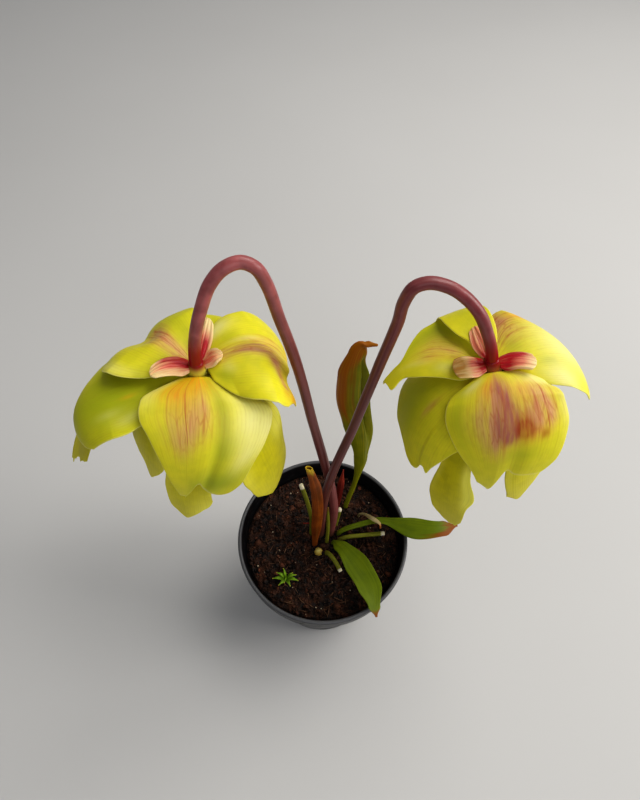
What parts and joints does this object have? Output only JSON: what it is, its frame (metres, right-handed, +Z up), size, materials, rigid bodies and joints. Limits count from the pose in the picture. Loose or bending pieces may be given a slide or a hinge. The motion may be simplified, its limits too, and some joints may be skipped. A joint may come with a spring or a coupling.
{
  "type": "potted yellow pitcher plant",
  "caption": "Pitcher plant in a round tapered nursery pot, with two nodding yellow flowers on arching stems, small pitchers, flat leaves and cut leaf stubs in peat.",
  "frame": {"origin": "centre of the pot's base, on the surface that it stands on", "axes": "+Z up; -Y is the plant's front, the side that the flowers are seen from; the two flowers hang to -X and +X"},
  "size_m": [0.1972, 0.0959, 0.2513],
  "materials": {
    "pot": "thin black moulded nursery plastic, satin with scuffs",
    "peat": "damp dark brown peat with pale grit",
    "stem": "smooth mauve-pink skin with a soft sheen",
    "sepal": "waxy lime yellow with pink veins",
    "petal": "soft yellow-green",
    "bract": "crimson at the root, cream at the tip",
    "pistil": "waxy pale green",
    "stamen": "powdery pale yellow",
    "leaf": "waxy green with bronze edges",
    "bronze": "waxy orange-brown",
    "crimson": "dark red, matt",
    "stub": "dull yellow-green with pale cut ends",
    "rhizome": "matt cream"
  },
  "bodies": {
    "root": {"left_sepal_front": "sepal", "left_sepal_right": "sepal", "left_sepal_back": "sepal", "left_sepal_back_left": "sepal", "left_sepal_left": "sepal", "left_petal_front_left": "petal", "left_petal_front": "petal", "left_petal_right": "petal", "left_petal_back": "petal", "left_petal_back_left": "petal", "left_bract_left": "bract", "left_bract_back": "bract", "left_bract_right": "bract", "left_pistil": "pistil", "left_stamens": "stamen", "left_stem": "stem", "right_sepal_front": "sepal", "right_sepal_right": "sepal", "right_sepal_back": "sepal", "right_sepal_left": "sepal", "right_sepal_front_left": "sepal", "right_petal_front_left": "petal", "right_petal_front": "petal", "right_petal_right": "petal", "right_petal_back": "petal", "right_petal_left": "petal", "right_bract_left": "bract", "right_bract_back": "bract", "right_bract_right": "bract", "right_pistil": "pistil", "right_stamens": "stamen", "right_stem": "stem", "pitcher_tall": "leaf", "pitcher_short": "bronze", "leaf_right": "leaf", "leaf_front": "leaf", "leaf_red": "crimson", "leaf_withered": "stub", "leaf_tip": "crimson", "sheath": "stub", "stub_left": "stub", "stub_centre": "stub", "stub_right": "stub", "stub_front": "stub", "rhizome": "rhizome", "seedlings": "leaf", "pot": "pot", "soil": "peat"}
  },
  "joints": []
}
